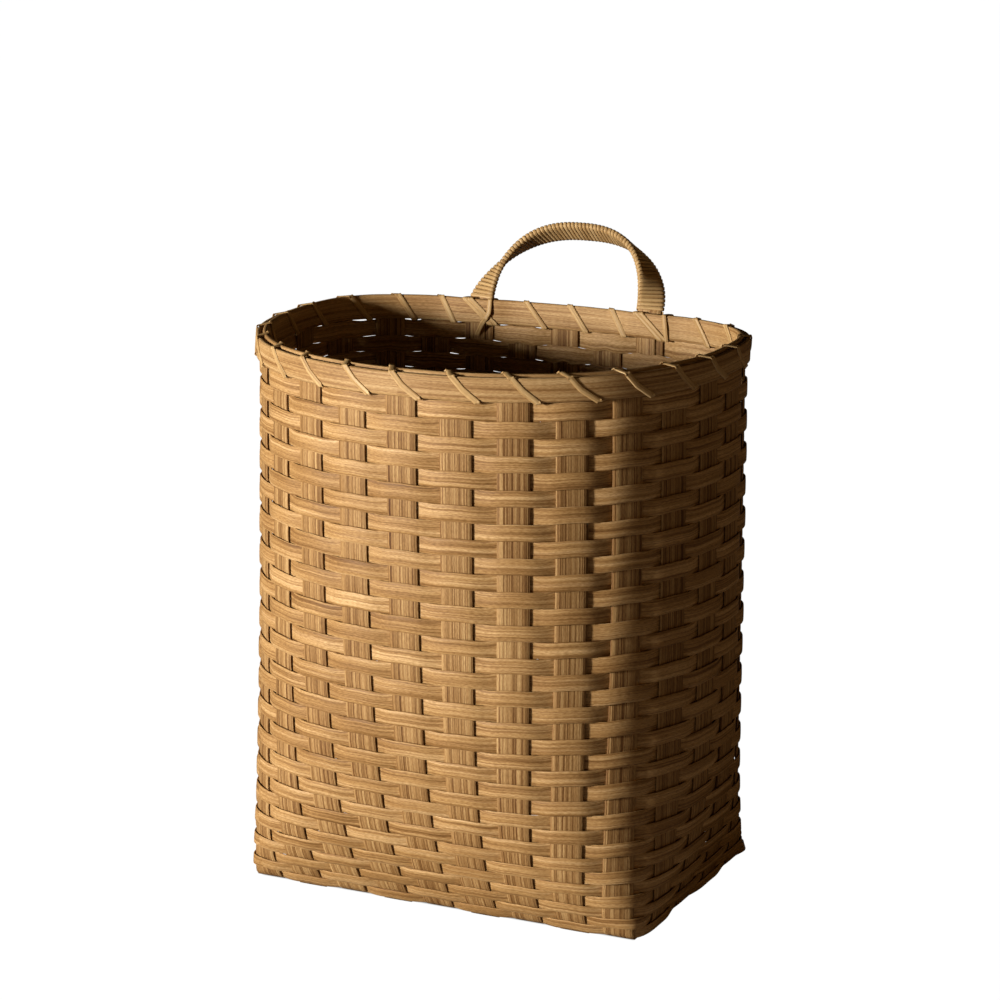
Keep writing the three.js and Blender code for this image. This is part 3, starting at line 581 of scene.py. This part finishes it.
# Of a tie, the strands' places are counted from the leg: (up, through) of the two across its face, and
# (place, side, height) of the end that crosses the left leg's tail.
tie = dict(
    width=4.4, over=-0.44, behind=0.06, bow=1.1, strands=((0.26, -0.36), (0.14, -0.47)),
    crossing=((0.02, -0.45, -11), (-0.12, -0.9, -1), (-0.26, -1.28, 6)), overCrossing=-0.34,
    crossingBow=1.2, end=0.38, lane=45.0,
)
outsideFace = hoopOffset + rim["hoopThickness"] / 2 + cane["stand"] + cane["thickness"] / 2
insideFace = -outsideFace
caneFoot = hoopFoot - cane["stand"] - cane["thickness"] / 2
outsideTop = outerTop + cane["stand"] + cane["thickness"] / 2
insideTop = innerTop + cane["stand"] + cane["thickness"] / 2


# Share of the rim at a place, between the shares of the stakes on either side.
def rimShare(position):
    position = np.asarray(position, dtype=float)
    whole = np.floor(position).astype(int)
    here = shareAtRim[whole % stakeCount] + np.floor_divide(whole, stakeCount)
    after = shareAtRim[(whole + 1) % stakeCount] + np.floor_divide(whole + 1, stakeCount)
    return here + (after - here) * (position - whole)


# A lash through stops (place, side, height): side 1 is the outer face, -1 the inner one. Its flat side
# lies on the rim: the normal is its own turn in the rim's section, (up, across) turned a quarter.
def buildLash(name, node, stops, width, lane):
    stops = np.array(stops, dtype=float)
    a, b = stops[:-1, None], stops[1:, None]
    part = np.array(cane["stops"])[None, :, None]
    dense = np.concatenate([(a * (1 - part) + b * part).reshape(-1, 3), stops[-1:]])
    fine = rounded(dense, 3)
    at, out, girth = planPoints(wallTop, rimShare(fine[:, 0]), smoothing=6)
    inner = insideFace - legRoom(rimShare(fine[:, 0]), girth)
    side = fine[:, 1]
    away = np.where(side >= 0, side * outsideFace, -side * inner)
    path = np.column_stack([at + out * away[:, None], fine[:, 2]])
    outward = np.column_stack([out * -np.gradient(fine[:, 2])[:, None], np.gradient(away)])
    tangent = directions(path)
    thick = squared(outward, tangent)
    wide = np.cross(thick, tangent)
    section = stripSection(width, cane["thickness"], cane["crown"], cane["edge"], cane["across"])
    return place(sweep(name, path, wide, thick, section, lane=lane), "cane", node)


def turnThrough(position):
    return [(position, 1, caneFoot), (position, -1, caneFoot)]


def turnOver(insidePlace, outsidePlace):
    return [(insidePlace, -1, insideTop), (outsidePlace, 1, outsideTop)]


# An end of cane, tucked up between the hoops beside a stake.
def tuckAt(position):
    return [(position, cane["tuck"], caneFoot + cane["tucked"]), (position, cane["tuck"], caneFoot)]


# The lashing goes through beside each stake, slants up the inside, and comes down the outside in a
# curve that slants most near the lower edge.
def lashStops(firstGap, gapCount):
    draws = np.random.default_rng(firstGap)
    start = firstGap + cane["start"]
    stops = tuckAt(start) + [(start, -1, caneFoot)]
    for i in range(1, gapCount):
        over = firstGap + i + draws.uniform(-1, 1) * cane["jitter"]
        through = firstGap + i + cane["through"] + draws.uniform(-0.5, 0.5) * cane["jitter"]
        stops += turnOver(over + cane["insideLead"], over + cane["outsideLead"])
        stops += [(over + cane["halfway"], 1, (caneFoot + outsideTop) / 2)]
        if i < gapCount - 1:
            stops += turnThrough(through)
        else:
            stops += [(through, 1, caneFoot)] + tuckAt(through)[::-1]
    return stops


legGap = legStakes[0] - legStakes[1]
buildLash("lashingFront", "rim_lashing_front", lashStops(legStakes[0], stakeCount - legGap),
          cane["width"], cane["frontLane"])
buildLash("lashingBack", "rim_lashing_back", lashStops(legStakes[1], legGap),
          cane["width"], cane["backLane"])


# A tie: one strand up over the inner face beside the leg, which at the left leg starts under the hoop
# and crosses the leg's tail, and two strands side by side across the face of the leg.
def tieStops(leg, crossing):
    middle = (caneFoot + insideTop) / 2
    if crossing:
        over = leg + tie["overCrossing"]
        stops = [(leg + at, side, caneFoot + height) for at, side, height in tie["crossing"]]
        stops += [(over + 0.01, -tie["crossingBow"], middle)]
    else:
        over = leg + tie["over"]
        behind = over - tie["behind"]
        stops = tuckAt(behind) + [(behind, -1, caneFoot), (over - 0.04, -tie["bow"], middle)]
    stops += turnOver(over, over)
    for up, through in tie["strands"]:
        stops += turnThrough(leg + through) + turnOver(leg + up, leg + up)
    end = leg + tie["end"]
    return stops + [(end, 1, caneFoot)] + tuckAt(end)[::-1]


for side, leg in zip(("left", "right"), legStakes):
    stops = tieStops(leg, side == "left")
    buildLash(f"tie{side.capitalize()}", f"handle_tie_{side}", stops, tie["width"], tie["lane"] + leg)
print("rim lashed")

# The arch stands in a leaning plane on two feet; its core has thinned tails down inside the wall.
handle = dict(
    rise=71.5, lean=math.radians(27), sideLean=math.radians(4.5), sideRoundness=2.5, topRoundness=1.84,
    twist=math.radians(104), twistEase=0.85, width=22, thickness=4, rimThickness=2.5, swell=8,
    tailWidth=12, tailThickness=1.5, tailRows=4, leftFootIn=3, footIn=4, tailFrom=5, joinAngle=0.04,
    sections=160, angleStep=0.002, edge=0.3, across=5, lane=51.0,
)
wrap = dict(
    width=3.2, thickness=1.0, crown=0.2, edge=0.35, across=3, turns=66, start=3, stand=0.1,
    stepsPerTurn=28, power=5, lane=55.0,
)
legOffset = -(stake["thickness"] / 2 + rim["clearance"] + handle["rimThickness"] / 2)
tailOffset = -(stake["thickness"] / 2 + rim["clearance"] + handle["tailThickness"] / 2)


# A point beside a stake's middle at the rim.
def rimPoint(stakeIndex, offset, z):
    at, out, _ = planPoints(wallTop, shareAtRim[stakeIndex:stakeIndex + 1], smoothing=9)
    return np.array([*(at[0] + out[0] * offset), z])


leftFoot = rimPoint(legStakes[0], legOffset, outerTop) + np.array([handle["leftFootIn"], 0, 0])
rightFoot = rimPoint(legStakes[1], legOffset, outerTop)
archMiddle = (leftFoot + rightFoot) / 2
spread = unit(rightFoot - leftFoot)
leanUp = np.array([0, math.sin(handle["lean"]), math.cos(handle["lean"])]) * math.cos(handle["sideLean"])
leanUp[0] = math.sin(handle["sideLean"])
leanBack = unit(np.cross(leanUp, spread))
halfSpan = np.linalg.norm(rightFoot - leftFoot) / 2


# The arch at angles from 0 at the left foot to pi at the right: a superellipse in its leaning plane,
# span cos^(2/p) and rise sin^(2/q).
def archPoints(angle):
    across, up = np.cos(angle), np.abs(np.sin(angle))
    out = np.sign(across) * np.abs(across) ** (2 / handle["sideRoundness"])
    rise = handle["rise"] * up ** (2 / handle["topRoundness"])
    return archMiddle - spread * (halfSpan * out)[:, None] + leanUp * rise[:, None], rise


# Its frame: the width turns by twist (rise / full rise)^ease, from the arch's plane at the feet to
# square across it at the crown.
def archFrame(angle):
    point, rise = archPoints(angle)
    after, _ = archPoints(np.clip(angle + handle["angleStep"], 0, math.pi))
    before, _ = archPoints(np.clip(angle - handle["angleStep"], 0, math.pi))
    along = unit(after - before)
    outward = unit(np.cross(along, leanBack))
    turn = handle["twist"] * (rise / handle["rise"]) ** handle["twistEase"]
    wide = outward * np.cos(turn)[:, None] + leanBack * np.sin(turn)[:, None]
    thick = unit(np.cross(along, wide))
    return point, wide, thick, rise


# The core swells from its thin feet to its full thickness in the first millimetres of rise.
def coreThickness(rise):
    swell = np.clip(rise / handle["swell"], 0, 1)
    return handle["rimThickness"] + (handle["thickness"] - handle["rimThickness"]) * swell


# The core: a flat strip up the left leg, over the arch and down the right leg. Between the hoops it is
# thin, and below them only its narrow tail runs on, along the inner face of the stake.
def buildCore():
    angle = np.linspace(handle["joinAngle"], math.pi - handle["joinAngle"], handle["sections"])
    point, wide, thick, rise = archFrame(angle)
    tailLevels = jointHeight(np.linspace(0, handle["tailRows"], 2 * handle["tailRows"] + 1))[1:]
    levels = np.concatenate([[outerTop - handle["footIn"], hoopFoot, wallTop], tailLevels])
    full = levels > hoopFoot + handle["tailFrom"]

    def leg(stakeIndex, shift, wideAtFoot, thickAtFoot):
        points, wides, thicks = [], [], []
        for z, atRim in zip(levels, full):
            at, out, _ = planPoints(z, sharesAt(z)[stakeIndex:stakeIndex + 1], smoothing=9)
            middle = at[0] + out[0] * (legOffset if atRim else tailOffset)
            points.append([middle[0] + (shift if atRim else 0), middle[1], z])
            side = np.array([-out[0, 1], out[0, 0], 0])
            face = np.array([out[0, 0], out[0, 1], 0])
            wides.append(side * np.sign(np.dot(side, wideAtFoot)))
            thicks.append(face * np.sign(np.dot(face, thickAtFoot)))
        return np.array(points), np.array(wides), np.array(thicks)

    left = leg(legStakes[0], handle["leftFootIn"], wide[0], thick[0])
    right = leg(legStakes[1], 0, wide[-1], thick[-1])
    path, wides, thicks = (
        np.concatenate([l[::-1], arch, r]) for l, arch, r in zip(left, (point, wide, thick), right))
    legWidth = np.where(full, handle["width"], handle["tailWidth"])
    legTall = np.where(full, handle["rimThickness"], handle["tailThickness"])
    widths = np.concatenate([legWidth[::-1], np.full(len(angle), handle["width"]), legWidth])
    talls = np.concatenate([legTall[::-1], coreThickness(rise), legTall])
    nominal = 10
    section = stripSection(nominal, 1, 0, handle["edge"], handle["across"])
    taper = np.column_stack([widths / nominal, talls])
    piece = sweep("handleCore", path, wides, thicks, section, lane=handle["lane"], taper=taper)
    return place(piece, "hoop", "handle_core")


# The wrap: one cane carried round a superellipse of high power, which hugs the flat core, while it
# walks evenly along the arch.
def buildWrap():
    dense = np.linspace(0, math.pi, 2001)
    points, rise = archPoints(dense)
    walked = np.concatenate([[0], np.cumsum(np.linalg.norm(np.diff(points, axis=0), axis=1))])
    climbing = len(dense) // 2
    start = np.interp(wrap["start"], rise[:climbing], walked[:climbing])
    steps = wrap["turns"] * wrap["stepsPerTurn"]
    distance = np.linspace(start, walked[-1] - start, steps + 1)
    point, wide, thick, rise = archFrame(np.interp(distance, walked, dense))
    stand = wrap["stand"] + wrap["thickness"] / 2
    turn = 2 * math.pi * np.arange(steps + 1) / wrap["stepsPerTurn"]
    c, s = np.cos(turn), np.sin(turn)
    power = wrap["power"]
    reach = (np.abs(c) ** power + np.abs(s) ** power) ** (-1 / power)
    halfWide, halfTall = handle["width"] / 2 + stand, coreThickness(rise) / 2 + stand
    x, y = c * reach * halfWide, s * reach * halfTall
    path = point + wide * x[:, None] + thick * y[:, None]
    normal = wide * (np.sign(c) * np.abs(x / halfWide) ** (power - 1))[:, None]
    normal = normal + thick * (np.sign(s) * np.abs(y / halfTall) ** (power - 1))[:, None]
    tangent = directions(path)
    outward = squared(normal, tangent)
    width = np.cross(outward, tangent)
    section = stripSection(wrap["width"], wrap["thickness"], wrap["crown"], wrap["edge"], wrap["across"])
    piece = sweep("handleWrap", path, width, outward, section, lane=wrap["lane"])
    return place(piece, "cane", "handle_wrap")


buildCore()
buildWrap()
print("handle wrapped")

studio = dict(
    floorSize=40, floorColour=0.30, floorRoughness=0.9, floorWhite=1.07, floorGlow=0.94,
    footprint=(0.180, 0.1215), footprintMiddle=0.0180, footprintEdge=0.97,
    keyStrength=176, keySize=0.50, keyAt=(-1.70, -2.61, 0.79), keyAim=(0, 0, 0.28),
    keyColour=(1, 0.98, 0.94),
    fillStrength=0.42, fillAbove=0.01, fillFrom=0.05, fillTo=0.40, fillColour=(1, 0.61, 0.24),
)


# A floor that looks white and keeps a trace of the basket's shade. The white stops under the basket,
# where only the real shade shows through the weave of its base: the larger of |x| and |y|, as shares
# of the footprint's halves, tells inside from outside.
def buildFloor():
    half = studio["floorSize"] / 2
    corners = [(-half, -half, 0), (half, -half, 0), (half, half, 0), (-half, half, 0)]
    mesh = bpy.data.meshes.new("floor")
    mesh.from_pydata(corners, [], [(0, 1, 2, 3)])
    floor = bpy.data.objects.new("floor", mesh)
    bpy.context.scene.collection.objects.link(floor)
    paint = bpy.data.materials.new("floorPaint")
    paint.use_nodes = True
    tree = paint.node_tree
    halfX, halfY = studio["footprint"]
    where = addNode(tree, "ShaderNodeTexCoord").outputs["Object"]
    scaled = addNode(tree, "ShaderNodeMapping", {
        "Scale": (1 / halfX, 1 / halfY, 0), "Location": (0, -studio["footprintMiddle"] / halfY, 0),
        "Vector": where})
    away = addNode(tree, "ShaderNodeVectorMath", {0: scaled.outputs["Vector"]}, operation="ABSOLUTE")
    parts = addNode(tree, "ShaderNodeSeparateXYZ", {"Vector": away.outputs["Vector"]}).outputs
    farther = addNode(tree, "ShaderNodeMath", {0: parts["X"], 1: parts["Y"]}, operation="MAXIMUM")
    edge = addNode(tree, "ShaderNodeMapRange", {
        "From Min": studio["footprintEdge"], "From Max": 1.0, "To Max": studio["floorGlow"],
        "Value": farther.outputs["Value"]})
    seen = addNode(tree, "ShaderNodeLightPath").outputs["Is Camera Ray"]
    share = addNode(tree, "ShaderNodeMath", {0: seen, 1: edge.outputs["Result"]}, operation="MULTIPLY")
    shader = fill(tree, tree.nodes["Principled BSDF"], {
        "Base Color": (*[studio["floorColour"]] * 3, 1), "Roughness": studio["floorRoughness"]})
    glow = addNode(tree, "ShaderNodeEmission", {"Strength": studio["floorWhite"]})
    mixed = addNode(tree, "ShaderNodeMixShader", {
        "Fac": share.outputs["Value"], 1: shader.outputs["BSDF"], 2: glow.outputs["Emission"]})
    fill(tree, tree.nodes["Material Output"], {"Surface": mixed.outputs["Shader"]})
    mesh.materials.append(paint)


# The fill comes mostly from the sides, and little of it from above into the mouth. Seen straight, the
# world is white.
def buildWorld():
    world = bpy.data.worlds.new("studio")
    bpy.context.scene.world = world
    world.use_nodes = True
    tree = world.node_tree
    where = addNode(tree, "ShaderNodeTexCoord").outputs["Generated"]
    up = addNode(tree, "ShaderNodeSeparateXYZ", {"Vector": where}).outputs["Z"]
    strength = addNode(tree, "ShaderNodeMapRange", {
        "From Min": studio["fillFrom"], "From Max": studio["fillTo"], "To Min": studio["fillStrength"],
        "To Max": studio["fillStrength"] * studio["fillAbove"], "Value": up})
    dim = fill(tree, tree.nodes["Background"], {
        "Color": (*studio["fillColour"], 1), "Strength": strength.outputs["Result"]})
    white = addNode(tree, "ShaderNodeBackground", {"Color": (1, 1, 1, 1), "Strength": 1.0})
    seen = addNode(tree, "ShaderNodeLightPath").outputs
    either = addNode(tree, "ShaderNodeMath", {0: seen["Is Camera Ray"], 1: seen["Is Transmission Ray"]},
                     operation="MAXIMUM")
    mixed = addNode(tree, "ShaderNodeMixShader", {
        "Fac": either.outputs["Value"], 1: dim.outputs["Background"], 2: white.outputs["Background"]})
    fill(tree, tree.nodes["World Output"], {"Surface": mixed.outputs["Shader"]})


def buildKey():
    lamp = bpy.data.lights.new("key", "AREA")
    lamp.shape = "DISK"
    lamp.size = studio["keySize"]
    lamp.energy = studio["keyStrength"]
    lamp.color = studio["keyColour"]
    key = bpy.data.objects.new("key", lamp)
    key.location = studio["keyAt"]
    aim = Vector(studio["keyAim"]) - key.location
    key.rotation_euler = aim.to_track_quat("-Z", "Y").to_euler()
    bpy.context.scene.collection.objects.link(key)


# The photograph's camera: its place in metres, its turns, and its focal length in pixels of a frame of
# that width.
view = dict(
    at=(1.18126, -2.42032, 1.0196), yaw=0.452, pitch=0.248, roll=-0.003, focal=3218.7, width=1000,
    sensor=36, farthest=100,
)


def buildCamera():
    camera = bpy.data.cameras.new("camera")
    camera.sensor_width = view["sensor"]
    camera.sensor_fit = "HORIZONTAL"
    camera.lens = view["focal"] / view["width"] * camera.sensor_width
    camera.clip_end = view["farthest"]
    stand = bpy.data.objects.new("camera", camera)
    yaw = Matrix.Rotation(view["yaw"], 4, "Z")
    pitch = Matrix.Rotation(math.pi / 2 - view["pitch"], 4, "X")
    roll = Matrix.Rotation(view["roll"], 4, "Z")
    stand.matrix_world = Matrix.Translation(view["at"]) @ yaw @ pitch @ roll
    bpy.context.scene.collection.objects.link(stand)
    bpy.context.scene.camera = stand


buildFloor()
buildWorld()
buildKey()
buildCamera()
bpy.context.scene.view_settings.view_transform = "Standard"
print("studio set")
